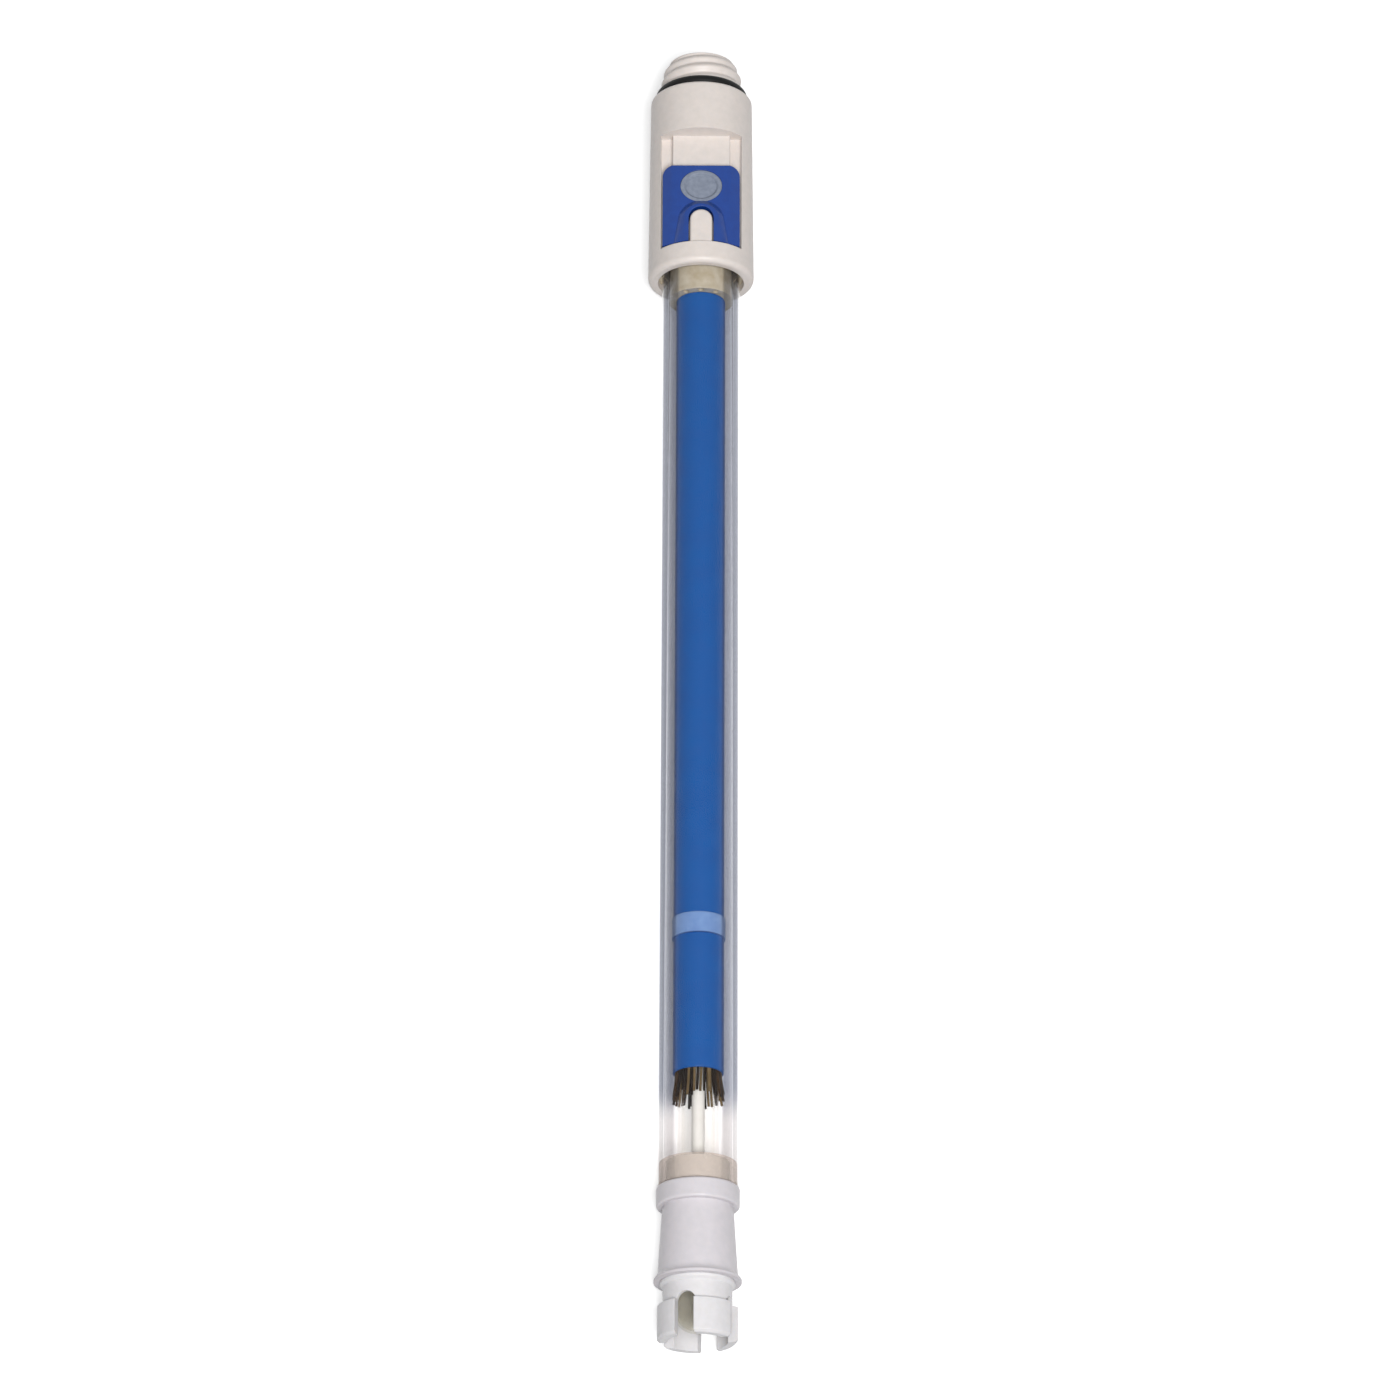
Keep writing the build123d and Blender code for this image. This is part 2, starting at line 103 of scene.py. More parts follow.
# Reference wires
WIRE_RADIUS = 0.19
WIRE_SIDES = 8
WIRE_CIRCLE = 3.28
WIRE_COUNT = 44
WIRE_BENDS = 6
WIRE_TIPS = (0.9, 2.3)        # above the lowest of the solid wires
WIRE_STRAY = 0.2              # of the space between two wires
WIRE_SWING = 0.06             # radians from top to tip
WIRE_FLARE = (0.35, 1.0)      # shares of the way out to the widest solid wire
WIRE_CURVE = 1.6              # how late the wires bend outwards

# Camera, fitted to the outlines in the photograph
LENS = 161.36
SENSOR = 36.0
CAMERA_CLIP = (0.01, 20.0)    # metres
CAMERA_DISTANCE = 941.0
CAMERA_TILT = 22.4            # degrees from square to the shaft, on the side of the tip
CAMERA_ROLL = 0.19            # degrees
AIM_HEIGHT = 100.0
AIM_SIDE = 0.07

# Light. Sizes and places of the floor and lamp are in metres of the row's frame.
WORLD_LIGHT = 0.24
WORLD_COLOUR = (0.98, 0.99, 1.0)
FLOOR_COLOUR = (0.93, 0.93, 0.93)
FLOOR_GLOW = 0.42             # brings the lit floor to white without more light on the object
FLOOR_BOUNCE = (0.24, 0.24, 0.245)
FLOOR_SIZE = 6.0
KEY_PLACE = (0.12, -0.5, 1.05)
KEY_SIZE = 0.45
KEY_POWER = 12.8

# Moulded and metal surfaces. Scales of noise are for each millimetre.
EDGE_ROUND = 0.18             # how round the moulded edges look
SHARP_ANGLE = 32.0            # degrees between faces that keep a hard edge
CLOUD_SCALE = 0.9
CLOUD_RANGE = (0.3, 0.7)      # of the noise that goes from the dark to the light shade
GRAIN_SCALE = 6.0
GRAIN_DETAIL = 4.0
GRAIN_STRENGTH = 0.5
GLOSS_SCALE = 2.4
GLOSS_DRIFT = 0.06            # of the roughness
UNDER_REACH = (0.6, 0.48, 0.36)  # of red, green and blue light under the surface
TARNISH_SCALE = 2.0
SMEAR_SCALE = 5.0             # of the uneven roughness of metals
SMEAR_DRIFT = 0.08

# Glass and resin. A slant is 0 for a wall seen square on and 1 for one seen edge on.
GLASS_WALLS = 32              # that light may pass on its way through the tube, stem and seal
GLASS_ROUGH = 0.04
GLASS_SHEEN = (0.008, 0.9)    # share of mirror light, from square on to edge on
SHEEN_POWER = 5.0             # how late it sets in
BORE_BAND = (0.28, 0.37)      # slants between which the bore's painted shade sets in
TUBE_BAND_START = (0.47, 0.49)
TUBE_BAND_END = (0.71, 0.76)
STEM_BAND = (0.3, 0.6)
CHAMBER_FADE = (1.5, 3.0)     # below and above the wires' ends
MEMBRANE_FADE = (0.5, 1.0)    # below and above the membrane's top
RESIN_CLOUD = 1.3
RESIN_DRIFT = 0.08            # of the share that is scattered


def place(x, depth, height):
    """A point of the upright frame in the row's frame, in metres."""
    return ORIGIN + (SIDE * x + FRONT * depth + UP * height) * MM


def upright(point):
    """A point of the row's frame in the upright frame: x, depth and height in millimetres."""
    offset = (point - ORIGIN) / MM
    return Vector((offset.dot(SIDE), offset.dot(FRONT), offset.dot(UP)))


def span(node):
    """Lowest and highest corner of a CAD node's box in the upright frame."""
    points = [upright(vertex.co) for vertex in frame["nodes"][node].data.vertices]
    low = Vector(min(point[axis] for point in points) for axis in range(3))
    high = Vector(max(point[axis] for point in points) for axis in range(3))
    return low, high


WINDOW_TOP = span("reference_wires")[0].z
MEMBRANE_TOP = span("inner_glass")[0].z + MEMBRANE_LENGTH


# Node trees

class Tree:
    """The node tree of a new material or world, with helpers that add nodes and join them."""

    def __init__(self, owner, output="ShaderNodeOutputMaterial"):
        owner.use_nodes = True
        self.owner = owner
        self.nodes = owner.node_tree.nodes
        self.links = owner.node_tree.links
        self.nodes.clear()
        self.output = self.add(output)

    def add(self, kind, **settings):
        node = self.nodes.new(kind)
        for key, value in settings.items():
            setattr(node, key, value)
        return node

    def join(self, source, target):
        self.links.new(source, target)

    def finish(self, surface):
        """Puts a shader on the output and returns the material or world."""
        self.join(surface, self.output.inputs["Surface"])
        return self.owner

    def calculate(self, operation, first, second, **settings):
        """A calculation with two sockets, or with a socket and a number."""
        node = self.add("ShaderNodeMath", operation=operation, **settings)
        self.join(first, node.inputs[0])
        if isinstance(second, float):
            node.inputs[1].default_value = second
        else:
            self.join(second, node.inputs[1])
        return node.outputs[0]

    def mix(self, share, first, second):
        """The shader first at share 0 and second at share 1."""
        node = self.add("ShaderNodeMixShader")
        self.join(share, node.inputs["Fac"])
        self.join(first, node.inputs[1])
        self.join(second, node.inputs[2])
        return node.outputs[0]

    def mix_colour(self, share, first, second):
        """The colour first at share 0 and second at share 1. Either may be a socket or an sRGB colour."""
        node = self.add("ShaderNodeMix", data_type="RGBA")
        self.join(share, node.inputs["Factor"])
        for socket, colour in zip([node.inputs[6], node.inputs[7]], [first, second]):
            if isinstance(colour, tuple):
                socket.default_value = (*linear(colour), 1.0)
            else:
                self.join(colour, socket)
        return node.outputs[2]

    def noise(self, scale, detail=3.0):
        """Noise with its scale for each millimetre."""
        coordinates = self.add("ShaderNodeTexCoord")
        sized = self.add("ShaderNodeVectorMath", operation="SCALE")
        sized.inputs["Scale"].default_value = 1 / MM
        self.join(coordinates.outputs["Object"], sized.inputs[0])
        node = self.add("ShaderNodeTexNoise")
        node.inputs["Scale"].default_value = scale
        node.inputs["Detail"].default_value = detail
        node.inputs["Roughness"].default_value = 0.5
        self.join(sized.outputs[0], node.inputs["Vector"])
        return node.outputs["Fac"]

    def clouding(self, scale, dark, light):
        """A colour that drifts between two sRGB colours."""
        node = self.add("ShaderNodeValToRGB")
        for element, position, colour in zip(node.color_ramp.elements, CLOUD_RANGE, (dark, light)):
            element.position = position
            element.color = (*linear(colour), 1.0)
        self.join(self.noise(scale), node.inputs["Fac"])
        return node.outputs["Color"]

    def between(self, share, low, high):
        """A number from low to high as the share goes from 0 to 1."""
        node = self.add("ShaderNodeMapRange")
        node.inputs["To Min"].default_value = low
        node.inputs["To Max"].default_value = high
        self.join(share, node.inputs["Value"])
        return node.outputs[0]

    def drift(self, scale, middle, reach):
        """A number that drifts about its middle by the reach."""
        return self.between(self.noise(scale), middle - reach, middle + reach)

    def step(self, value, low, high):
        """0 below low and 1 above high."""
        node = self.add("ShaderNodeMapRange", interpolation_type="SMOOTHSTEP")
        node.inputs["From Min"].default_value = low
        node.inputs["From Max"].default_value = high
        self.join(value, node.inputs["Value"])
        return node.outputs[0]

    def height(self):
        """Height in the upright frame, in millimetres."""
        coordinates = self.add("ShaderNodeTexCoord")
        offset = self.add("ShaderNodeVectorMath", operation="SUBTRACT")
        offset.inputs[1].default_value = ORIGIN
        self.join(coordinates.outputs["Object"], offset.inputs[0])
        along = self.add("ShaderNodeVectorMath", operation="DOT_PRODUCT")
        along.inputs[1].default_value = UP / MM
        self.join(offset.outputs[0], along.inputs[0])
        return along.outputs["Value"]

    def bump(self, height, distance):
        """Grain on top of edges that look slightly rounded."""
        edges = self.add("ShaderNodeBevel", samples=4)
        edges.inputs["Radius"].default_value = EDGE_ROUND * MM
        node = self.add("ShaderNodeBump")
        node.inputs["Strength"].default_value = GRAIN_STRENGTH
        node.inputs["Distance"].default_value = distance * MM
        self.join(edges.outputs["Normal"], node.inputs["Normal"])
        self.join(height, node.inputs["Height"])
        return node.outputs["Normal"]


def linear(colour):
    """An sRGB colour of 0 to 255 as linear light."""
    shares = [value / 255 for value in colour]
    return tuple(share / 12.92 if share <= 0.04045 else ((share + 0.055) / 1.055) ** 2.4 for share in shares)


# Kinds of material

def plastic(name, light, dark, roughness, cloud=CLOUD_SCALE, bump=0.012, sheen=0.5, under=0.0):
    """A moulded plastic: faint clouding, uneven gloss and a fine grain."""
    tree = Tree(bpy.data.materials.new(name))
    shader = tree.add("ShaderNodeBsdfPrincipled")
    gloss = tree.drift(GLOSS_SCALE, roughness, GLOSS_DRIFT)
    tree.join(tree.clouding(cloud, dark, light), shader.inputs["Base Color"])
    tree.join(gloss, shader.inputs["Roughness"])
    tree.join(tree.bump(tree.noise(GRAIN_SCALE, GRAIN_DETAIL), bump), shader.inputs["Normal"])
    shader.inputs["Specular IOR Level"].default_value = sheen
    if under:
        shader.inputs["Subsurface Weight"].default_value = under
        shader.inputs["Subsurface Radius"].default_value = UNDER_REACH
        shader.inputs["Subsurface Scale"].default_value = MM
    return tree.finish(shader.outputs[0])


def metal(name, light, dark, roughness):
    """A drawn or plated metal with faint tarnish."""
    tree = Tree(bpy.data.materials.new(name))
    shader = tree.add("ShaderNodeBsdfPrincipled")
    gloss = tree.drift(SMEAR_SCALE, roughness, SMEAR_DRIFT)
    shader.inputs["Metallic"].default_value = 1.0
    tree.join(tree.clouding(TARNISH_SCALE, dark, light), shader.inputs["Base Color"])
    tree.join(gloss, shader.inputs["Roughness"])
    return tree.finish(shader.outputs[0])


def clear(name, painted_shade_at):
    """Clear glass whose colour at each wall holds painted shade, with a mirror's sheen at its edges. It casts
    no shadow of its own.
    """
    tree = Tree(bpy.data.materials.new(name))
    facing = tree.add("ShaderNodeLayerWeight")
    facing.inputs["Blend"].default_value = 0.5
    slant = facing.outputs["Facing"]
    shadow = tree.add("ShaderNodeLightPath").outputs["Is Shadow Ray"]
    see = tree.add("ShaderNodeBsdfTransparent")
    tree.join(tree.mix_colour(shadow, painted_shade_at(tree, slant), (255, 255, 255)), see.inputs["Color"])
    shine = tree.add("ShaderNodeBsdfGlossy")
    shine.inputs["Roughness"].default_value = GLASS_ROUGH
    shine.inputs["Color"].default_value = (1, 1, 1, 1)
    sheen = tree.between(tree.calculate("POWER", slant, SHEEN_POWER), *GLASS_SHEEN)
    shown = tree.calculate("SUBTRACT", sheen, shadow, use_clamp=True)
    return tree.finish(tree.mix(shown, see.outputs[0], shine.outputs[0]))


def hazy(name, colour, cover):
    """A translucent resin: part of the light goes through, tinted, and part is scattered."""
    tree = Tree(bpy.data.materials.new(name))
    see = tree.add("ShaderNodeBsdfTransparent")
    body = tree.add("ShaderNodeBsdfDiffuse")
    for shader in (see, body):
        shader.inputs["Color"].default_value = (*linear(colour), 1.0)
    cloud = tree.drift(RESIN_CLOUD, cover, RESIN_DRIFT)
    return tree.finish(tree.mix(cloud, see.outputs[0], body.outputs[0]))


def chamber_painted_shade(tree, beside):
    """Painted shade standing in for the darker surroundings that the glass shows: grey beside the sleeves,
    darker in the chamber above the wires' ends and lighter in the window below them.
    """
    below, above = CHAMBER_FADE
    chamber = tree.step(tree.height(), WINDOW_TOP - below, WINDOW_TOP + above)
    # Painted shade: these greys stand in for the darker surroundings that the glass shows beside the sleeves.
    chamber_shade = tree.mix_colour(beside, (252, 252, 253), (184, 186, 193))
    window_shade = tree.mix_colour(beside, (250, 249, 249), (226, 224, 224))
    return tree.mix_colour(chamber, window_shade, chamber_shade)


def bore_painted_shade(tree, slant):
    """The bore of the tube, clear over the sleeve and with painted shade beside it."""
    return chamber_painted_shade(tree, tree.step(slant, *BORE_BAND))


def tube_painted_shade(tree, slant):
    """The outside of the tube, with painted shade beside the sleeves: the bore seems to reach nearly to its
    edge.
    """
    start = tree.step(slant, *TUBE_BAND_START)
    end = tree.step(slant, *TUBE_BAND_END)
    return chamber_painted_shade(tree, tree.calculate("SUBTRACT", start, end))


def stem_painted_shade(tree, slant):
    """Clear stem glass, slightly greyer where its wall is seen aslant, with painted shade at its end: the
    greyer membrane stands in for the darker surroundings that the glass shows.
    """
    below, above = MEMBRANE_FADE
    stem = tree.step(tree.height(), MEMBRANE_TOP - below, MEMBRANE_TOP + above)
    wall = tree.mix_colour(tree.step(slant, *STEM_BAND), (254, 254, 253), (249, 248, 246))
    # Painted shade: the grey of the membrane.
    return tree.mix_colour(stem, (246, 245, 240), wall)


# The part's materials: a light and a dark sRGB shade, then roughness

HEAD = plastic("head_white", (226, 217, 211), (219, 211, 205), 0.42, under=0.15)
SLIDER = plastic("slider_blue", (6, 60, 142), (5, 55, 134), 0.36)
PAD = plastic("pad_grey", (134, 142, 158), (118, 126, 142), 0.55, cloud=1.6, bump=0.03)
RING = plastic("ring_black", (9, 9, 8), (5, 5, 5), 0.55, bump=0.01, sheen=0.2)
INSULATOR = plastic("insulator_white", (252, 250, 246), (246, 243, 238), 0.5)
GOLD = metal("contact_gold", (232, 196, 120), (214, 176, 100), 0.25)
NICKEL = metal("contact_nickel", (205, 203, 198), (180, 177, 170), 0.3)
POTTING = plastic("potting_beige", (206, 196, 176), (184, 170, 142), 0.35, cloud=0.7, bump=0.03, under=0.2)
RUBBER = plastic("rubber_dark", (40, 38, 36), (28, 26, 25), 0.6)
SLEEVE = plastic("sleeve_blue", (2, 85, 160), (2, 80, 154), 0.45, cloud=0.35, sheen=0.25)
SPACER = plastic("spacer_clear", (120, 155, 205), (105, 140, 195), 0.25)
WIRE = plastic("wire_brown", (70, 50, 28), (50, 34, 18), 0.6, sheen=0.1)
WIRE_DARK = plastic("wire_dark", (32, 20, 9), (20, 13, 6), 0.6, sheen=0.1)
WIRE_LIGHT = plastic("wire_light", (124, 104, 72), (98, 80, 52), 0.6, sheen=0.1)
SILVER = metal("wire_silver", (214, 212, 206), (190, 187, 180), 0.35)
CORE = plastic("cone_glass", (236, 232, 226), (228, 224, 218), 0.45)
JUNCTION = plastic("junction_white", (213, 208, 212), (207, 203, 207), 0.4, under=0.15)
GUARD = plastic("guard_white", (222, 220, 222), (216, 214, 215), 0.42, under=0.2)
TUBE_GLASS = clear("tube_glass", tube_painted_shade)
BORE_GLASS = clear("bore_glass", bore_painted_shade)
STEM_GLASS = clear("stem_glass", stem_painted_shade)
SEAL = hazy("seal_resin", (244, 238, 233), 0.22)

FINISHES = {
    "head_housing": HEAD,
    "refill_slider": SLIDER,
    "slider_seal": PAD,
    "coupling_insert": HEAD,
    "coupling_o_ring": RING,
    "contact_insulator": INSULATOR,
    "centre_contact": GOLD,
    "shield_contact": NICKEL,
    "outer_tube": TUBE_GLASS,
    "head_potting": POTTING,
    "chamber_seal": RUBBER,
    "stem_stopper": RUBBER,
    "inner_glass": STEM_GLASS,
    "upper_sleeve": SLEEVE,
    "sleeve_spacer": SPACER,
    "lower_sleeve": SLEEVE,
    "reference_wires": WIRE,
    "reference_lead": SILVER,
    "inner_electrode": SILVER,
    "lead_insulation": INSULATOR,
    "lower_seal": SEAL,
    "junction_core": CORE,
    "junction_sleeve": JUNCTION,
    "membrane_guard": GUARD,
}


def dress_nodes():
    """Gives each CAD node its material."""
    for node, material in FINISHES.items():
        materials = frame["nodes"][node].data.materials
        materials.clear()
        materials.append(material)


# Meshes

def new_object(name, data):
    """Puts a mesh, lamp or camera in the scene."""
    shape = bpy.data.objects.new(name, data)
    bpy.context.scene.collection.objects.link(shape)
    return shape


def new_piece(name, vertices, faces, body, material):
    """A mesh from points of the upright frame, which rides on a body."""
    mesh = bpy.data.meshes.new(name)
    mesh.from_pydata([place(*vertex) for vertex in vertices], [], faces)
    mesh.validate()
    mesh.update()
    mesh.materials.append(material)
    mesh.shade_smooth()
    mesh.set_sharp_from_angle(angle=math.radians(SHARP_ANGLE))
    piece = new_object(name, mesh)
    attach(piece, body)
    return piece


def circle(radius, height, sides):
    """A ring of points about the shaft's axis."""
    turns = [2 * math.pi * number / sides for number in range(sides)]
    return [(radius * math.sin(turn), radius * math.cos(turn), height) for turn in turns]


def ring_faces(rings, sides, closed=False):
    """Faces between rings of points, and from the last ring back to the first if closed."""
    faces = []
    for ring in range(rings if closed else rings - 1):
        first, second = ring * sides, (ring + 1) % rings * sides
        for number in range(sides):
            after = (number + 1) % sides
            faces.append((first + number, first + after, second + after, second + number))
    return faces


def lathe(profile):
    """Vertices and faces of a closed profile of (radius, height) points, turned about the shaft's axis."""
    vertices = []
    for radius, height in profile:
        vertices += circle(radius, height, LATHE_SIDES)
    return vertices, ring_faces(len(profile), LATHE_SIDES, closed=True)


def rounded(corners, radius, steps=4):
    """A closed profile with each corner cut by a short curve, which leaves part of each side straight."""
    result = []
    for number, corner in enumerate(corners):
        here = Vector(corner)
        before = Vector(corners[number - 1])
        after = Vector(corners[(number + 1) % len(corners)])
        reach = min(radius, (before - here).length * CORNER_SHARE, (after - here).length * CORNER_SHARE)
        start = here + (before - here).normalized() * reach
        end = here + (after - here).normalized() * reach
        for step in range(steps + 1):
            share = step / steps
            point = start * (1 - share) ** 2 + here * 2 * share * (1 - share) + end * share ** 2
            result.append(tuple(point))
    return result


def arc(centre, radius, start, end, steps):
    """Points of an arc, with angles in degrees from the x axis."""
    turns = [math.radians(start + (end - start) * step / steps) for step in range(steps + 1)]
    return [(centre[0] + radius * math.cos(turn), centre[1] + radius * math.sin(turn)) for turn in turns]


def solid(name, first, second):
    """A solid between two outlines with the same number of points, in millimetres, to cut and join."""
    count = len(first)
    faces = [tuple(range(count)), tuple(range(2 * count - 1, count - 1, -1))]
    for number in range(count):
        after = (number + 1) % count
        faces.append((number, number + count, after + count, after))
    mesh = bpy.data.meshes.new(name)
    mesh.from_pydata(first + second, [], faces)
    editor = bmesh.new()
    editor.from_mesh(mesh)
    bmesh.ops.recalc_face_normals(editor, faces=editor.faces)
    editor.to_mesh(mesh)
    editor.free()
    return new_object(name, mesh)


def column(name, section, low, high):
    """A section of (x, depth) points, carried up the shaft from one height to another."""
    return solid(name, [(x, depth, low) for x, depth in section], [(x, depth, high) for x, depth in section])


def loft(name, back_outline, front_outline, back, front):
    """A solid between two outlines of (x, height) points, at two depths."""
    return solid(name, [(x, back, height) for x, height in back_outline],
                 [(x, front, height) for x, height in front_outline])


def cutter(name, outline):
    """An outline of (x, height) points, carried through everything in front of the axis."""
    return loft(name, outline, outline, 0, CUT_DEPTH)


def combine(shape, other, operation):
    """Changes one solid by a Boolean operation with another, which is then dropped."""
    step = shape.modifiers.new(operation, "BOOLEAN")
    step.operation = operation
    step.object = other
    step.solver = "EXACT"
    bpy.context.view_layer.update()
    result = bpy.data.meshes.new_from_object(shape.evaluated_get(bpy.context.evaluated_depsgraph_get()))
    shape.modifiers.clear()
    shape.data = result
    bpy.data.objects.remove(other)


# Pieces that the plain solids show too coarsely

def glass_tube():
    """The shaft as a smooth ring, with its bore in a material of its own."""
    low, high = span("outer_tube")
    inner = high.x - TUBE_WALL
    corners = [(inner, low.z), (high.x, low.z), (high.x, high.z), (inner, high.z)]
    vertices, faces = lathe(rounded(corners, TUBE_ROUND))
    piece = new_piece("glass_tube", vertices, faces, "head_and_shaft", TUBE_GLASS)
    piece.data.materials.append(BORE_GLASS)
    for face in piece.data.polygons:
        spot = upright(face.center)
        face.material_index = int(math.hypot(spot.x, spot.y) < inner + BORE_DEPTH)
    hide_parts("outer_tube")


def resin_seal():
    """The translucent seal at the foot of the tube."""
    low, high = span("lower_seal")
    inner = STEM_RADIUS + SEAL_GAP
    corners = [(inner, low.z), (SEAL_LOOK, low.z), (SEAL_LOOK, high.z), (inner, high.z)]
    vertices, faces = lathe(rounded(corners, SEAL_ROUND))
    piece = new_piece("resin_seal", vertices, faces, "head_and_shaft", SEAL)
    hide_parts("lower_seal")


def thread_radius(height, angle, foot, top, crest):
    """The thread's outline: a rounded ridge that winds up the stub and fades at both ends."""
    lead_in = max(0.0, height - (top - LEAD_IN)) / LEAD_IN
    envelope = crest - LEAD_IN_DROP * lead_in ** 2
    turns = (height - foot) / THREAD_PITCH - angle / (2 * math.pi)
    ridge = (0.5 + 0.5 * math.cos(2 * math.pi * turns)) ** THREAD_SHARPNESS
    rise = min(1.0, max(0.0, (height - foot) / THREAD_FADE_IN))
    sink = min(1.0, max(0.0, (top - height) / THREAD_FADE_OUT))
    return envelope - THREAD_DEPTH * (1 - ridge) * rise * sink


def threaded_stub():
    """The screw stub, with its winding thread, neck and open socket."""
    low, high = span("coupling_insert")
    ring_low, ring_high = span("coupling_o_ring")
    foot = ring_high.z + RING_CLEAR[1]
    seat = ring_low.z - RING_SEAT
    plain = [(INSERT_RADIUS, low.z), (INSERT_RADIUS, seat),
             (NECK_RADIUS, seat + RING_SEAT / 2), (NECK_RADIUS, ring_high.z + RING_CLEAR[0])]
    vertices = []
    for radius, height in plain:
        vertices += circle(radius, height, THREAD_SIDES)
    for step in range(THREAD_STEPS + 1):
        height = foot + (high.z - foot) * step / THREAD_STEPS
        for number in range(THREAD_SIDES):
            angle = 2 * math.pi * number / THREAD_SIDES
            radius = thread_radius(height, angle, foot, high.z, high.x)
            vertices.append((radius * math.sin(angle), radius * math.cos(angle), height))
    for height in (high.z, ring_low.z - SOCKET_DEPTH, low.z):
        vertices += circle(SOCKET_RADIUS, height, THREAD_SIDES)
    faces = ring_faces(len(vertices) // THREAD_SIDES, THREAD_SIDES, closed=True)
    piece = new_piece("threaded_stub", vertices, faces, "head_and_shaft", HEAD)
    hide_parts("coupling_insert")


def wire(points):
    """Vertices and faces of one wire along its points."""
    vertices = []
    for number, point in enumerate(points):
        before = Vector(points[max(number - 1, 0)])
        after = Vector(points[min(number + 1, len(points) - 1)])
        along = (after - before).normalized()
        across = along.orthogonal().normalized()
        other = along.cross(across)
        for side in range(WIRE_SIDES):
            turn = 2 * math.pi * side / WIRE_SIDES
            spoke = across * math.cos(turn) + other * math.sin(turn)
            vertices.append(tuple(Vector(point) + spoke * WIRE_RADIUS))
    faces = ring_faces(len(points), WIRE_SIDES)
    faces.append(tuple(range(WIRE_SIDES)))
    faces.append(tuple(range(len(vertices) - WIRE_SIDES, len(vertices))))
    return vertices, faces


def wire_brush():
    """The reference wires, of uneven length, as one mesh for each shade."""
    random.seed(7)
    low, high = span("reference_wires")
    bend = span("lower_sleeve")[0].z
    reach = high.x - WIRE_RADIUS
    shades = {"wires_dark": WIRE_DARK, "wires_mid": WIRE, "wires_light": WIRE_LIGHT}
    meshes = {name: ([], []) for name in shades}
    for number in range(WIRE_COUNT):
        angle = 2 * math.pi * (number + random.uniform(-WIRE_STRAY, WIRE_STRAY)) / WIRE_COUNT
        swing = random.uniform(-WIRE_SWING, WIRE_SWING)
        tip = low.z + random.uniform(*WIRE_TIPS)
        flare = random.uniform(*WIRE_FLARE) * (reach - WIRE_CIRCLE)
        points = [(WIRE_CIRCLE * math.sin(angle), WIRE_CIRCLE * math.cos(angle), high.z)]
        for step in range(WIRE_BENDS + 1):
            share = step / WIRE_BENDS
            radius = WIRE_CIRCLE + flare * share ** WIRE_CURVE
            turned = angle + swing * share
            points.append((radius * math.sin(turned), radius * math.cos(turned), bend + (tip - bend) * share))
        name = random.choice(["wires_dark", "wires_dark", "wires_mid", "wires_light"])
        vertices, faces = meshes[name]
        new_vertices, new_faces = wire(points)
        start = len(vertices)
        vertices += new_vertices
        faces += [tuple(index + start for index in face) for face in new_faces]
    for name, (vertices, faces) in meshes.items():
        piece = new_piece(name, vertices, faces, "head_and_shaft", shades[name])
        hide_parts("reference_wires")


def make_plate(half, back, foot, top):
    """The slider's plate, with bevelled sides and round upper corners."""
    across, deep = PLATE_BEVEL
    section = [(-half, back), (-half, PLATE_FRONT - deep), (-half + across, PLATE_FRONT),
               (half - across, PLATE_FRONT), (half, PLATE_FRONT - deep), (half, back)]
    plate = column("plate", section, foot, top)
    inset = half - SLIDER_CORNER
    outline = [(-half, foot - 1), (half, foot - 1)]
    outline += arc((inset, top - SLIDER_CORNER), SLIDER_CORNER, 0, 90, 8)
    outline += arc((-inset, top - SLIDER_CORNER), SLIDER_CORNER, 90, 180, 8)
    combine(plate, cutter("corners", outline), "INTERSECT")
    return plate


def make_hood(foot, top, notch_centre):
    """The hood over the notch: sloping flanks under a round top."""
    slope = (HOOD_DEPTH - PLATE_FRONT + HOOD_SUNK) * math.tan(math.radians(HOOD_SLOPE))
    outlines = []
    for spread in (slope, 0.0):
        edge = HOOD_FOOT / 2 + spread
        outline = [(-edge, foot - 0.5), (edge, foot - 0.5)]
        outline += arc(notch_centre, NOTCH_WIDTH / 2 + HOOD_WALL + spread, 12, 168, 24)
        outlines.append(outline)
    hood = loft("hood", *outlines, PLATE_FRONT - HOOD_SUNK, HOOD_DEPTH)
    turns = [math.radians(turn) for turn in range(-90, 91, 3)]
    section = [(HOOD_DEPTH * math.sin(turn), HOOD_DEPTH * math.cos(turn)) for turn in turns]
    combine(hood, column("barrel", section, foot, top), "INTERSECT")
    return hood


def slide_closure():
    """The blue slider: its plate and hood, less the groove, the notch and the window for the pad."""
    low, high = span("refill_slider")
    foot = low.z
    top = foot + SLIDER_LENGTH
    notch_centre = (0, NOTCH_TOP - NOTCH_WIDTH / 2)
    closure = make_plate(high.x, low.y, foot, top)
    combine(closure, make_hood(foot, top, notch_centre), "UNION")

    groove = [(-GROOVE_HALF, foot - 2), (GROOVE_HALF, foot - 2),
              (GROOVE_HALF, top + 2), (-GROOVE_HALF, top + 2)]
    combine(closure, loft("groove", groove, groove, 0, PLATE_FRONT - PLATE_THICK), "DIFFERENCE")
    notch = [(-NOTCH_WIDTH / 2, foot - 2), (NOTCH_WIDTH / 2, foot - 2)]
    notch += arc(notch_centre, NOTCH_WIDTH / 2, 0, 180, 24)
    combine(closure, cutter("notch", notch), "DIFFERENCE")
    turns = [math.radians(turn) for turn in range(0, 360, 6)]
    window = [(PAD_HALF[0] * math.cos(turn), PAD_CENTRE + PAD_HALF[1] * math.sin(turn)) for turn in turns]
    combine(closure, cutter("window", window), "DIFFERENCE")

    vertices = [tuple(vertex.co) for vertex in closure.data.vertices]
    faces = [tuple(face.vertices) for face in closure.data.polygons]
    bpy.data.objects.remove(closure)
    piece = new_piece("slide_cover", vertices, faces, "slider", SLIDER)
    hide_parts("refill_slider")


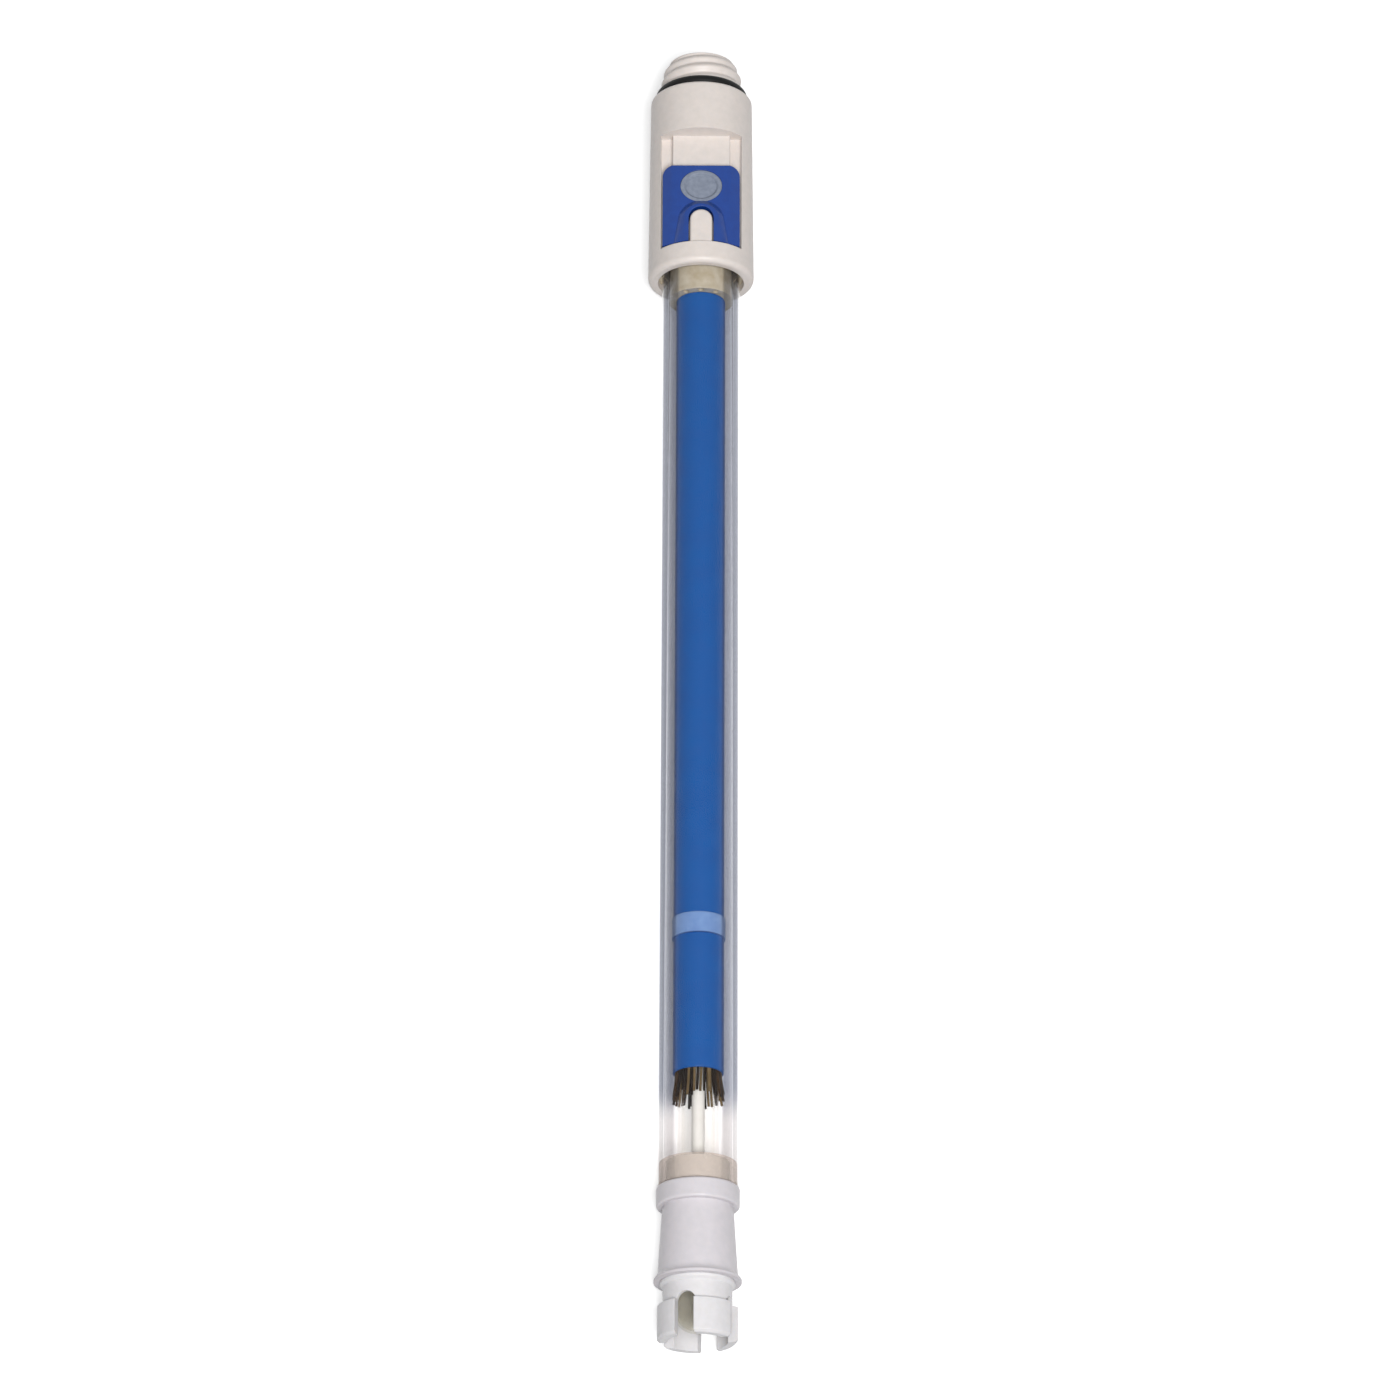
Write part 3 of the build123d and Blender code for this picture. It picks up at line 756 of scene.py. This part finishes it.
def dished_pad():
    """The soft pad in the slider's window, with a raised rim."""
    # Each ring's share of the window's size, and how far it lies behind the plate's front
    rings = [(1.0, 1.2), (1.0, 0.1), (0.97, 0.0), (0.82, 0.0), (0.77, 0.12), (0.72, 0.3)]
    turns = [2 * math.pi * number / PAD_SIDES for number in range(PAD_SIDES)]
    vertices = [(PAD_HALF[0] * share * math.cos(turn), PLATE_FRONT - sunk,
                 PAD_CENTRE + PAD_HALF[1] * share * math.sin(turn))
                for share, sunk in rings for turn in turns]
    faces = ring_faces(len(rings), PAD_SIDES)
    faces.append(tuple(range(PAD_SIDES)))
    faces.append(tuple(range(len(vertices) - PAD_SIDES, len(vertices))))
    piece = new_piece("dished_pad", vertices, faces, "slider", PAD)
    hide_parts("slider_seal")


# Stage

def path_shader(tree, seen, lit):
    """Shows one shader to the camera, mirrors and glass, and lights with the other."""
    path = tree.add("ShaderNodeLightPath")
    straight = tree.calculate("MAXIMUM", path.outputs["Is Camera Ray"], path.outputs["Is Glossy Ray"])
    any_of = tree.calculate("MAXIMUM", straight, path.outputs["Is Transmission Ray"])
    return tree.mix(any_of, lit, seen)


def make_world():
    """White where it is seen, and plain soft light on the object."""
    world = bpy.data.worlds.new("studio")
    bpy.context.scene.world = world
    tree = Tree(world, "ShaderNodeOutputWorld")
    seen = tree.add("ShaderNodeBackground")
    seen.inputs["Color"].default_value = (1, 1, 1, 1)
    lit = tree.add("ShaderNodeBackground")
    lit.inputs["Color"].default_value = (*WORLD_COLOUR, 1)
    lit.inputs["Strength"].default_value = WORLD_LIGHT
    tree.finish(path_shader(tree, seen.outputs[0], lit.outputs[0]))


def make_floor():
    """A white table that keeps the object's shadow and throws little light back at it."""
    half = FLOOR_SIZE / 2
    mesh = bpy.data.meshes.new("floor")
    corners = [(-half, -half, 0), (half, -half, 0), (half, half, 0), (-half, half, 0)]
    mesh.from_pydata(corners, [], [(0, 1, 2, 3)])
    tree = Tree(bpy.data.materials.new("floor_paper"))
    paper = tree.add("ShaderNodeBsdfDiffuse")
    paper.inputs["Color"].default_value = (*FLOOR_COLOUR, 1)
    glow = tree.add("ShaderNodeEmission")
    glow.inputs["Strength"].default_value = FLOOR_GLOW
    seen = tree.add("ShaderNodeAddShader")
    tree.join(paper.outputs[0], seen.inputs[0])
    tree.join(glow.outputs[0], seen.inputs[1])
    lit = tree.add("ShaderNodeBsdfDiffuse")
    lit.inputs["Color"].default_value = (*FLOOR_BOUNCE, 1)
    mesh.materials.append(tree.finish(path_shader(tree, seen.outputs[0], lit.outputs[0])))
    floor = new_object("floor", mesh)


def make_key_lamp():
    """A soft square lamp, high on the side of the tip and aimed at the middle of the electrode."""
    data = bpy.data.lights.new("key", "AREA")
    data.shape = "SQUARE"
    data.size = KEY_SIZE
    data.energy = KEY_POWER
    lamp = new_object("key", data)
    lamp.location = KEY_PLACE
    lamp.rotation_mode = "QUATERNION"
    lamp.rotation_quaternion = (-Vector(KEY_PLACE)).to_track_quat("-Z", "Y")


def make_camera():
    """The photo's view, from in front of the closure and a little from the tip."""
    data = bpy.data.cameras.new("camera")
    data.lens = LENS
    data.sensor_width = SENSOR
    data.clip_start, data.clip_end = CAMERA_CLIP
    camera = new_object("camera", data)
    tilt = math.radians(CAMERA_TILT)
    back = (FRONT * math.cos(tilt) - UP * math.sin(tilt)).normalized()
    above = UP * math.cos(tilt) + FRONT * math.sin(tilt)
    right = above.cross(back)
    roll = Matrix.Rotation(math.radians(CAMERA_ROLL), 3, "Z")
    camera.location = place(AIM_SIDE, 0, AIM_HEIGHT) + back * CAMERA_DISTANCE * MM
    camera.rotation_mode = "QUATERNION"
    camera.rotation_quaternion = (Matrix((right, above, back)).transposed() @ roll).to_quaternion()
    bpy.context.scene.camera = camera


def make_stage():
    """Everything around the object: view settings, world, floor, lamp and camera."""
    bpy.context.scene.view_settings.view_transform = "Standard"
    bpy.context.scene.cycles.transparent_max_bounces = GLASS_WALLS
    make_world()
    make_floor()
    make_key_lamp()
    make_camera()


make_stage()
dress_nodes()
glass_tube()
threaded_stub()
wire_brush()
resin_seal()
slide_closure()
dished_pad()
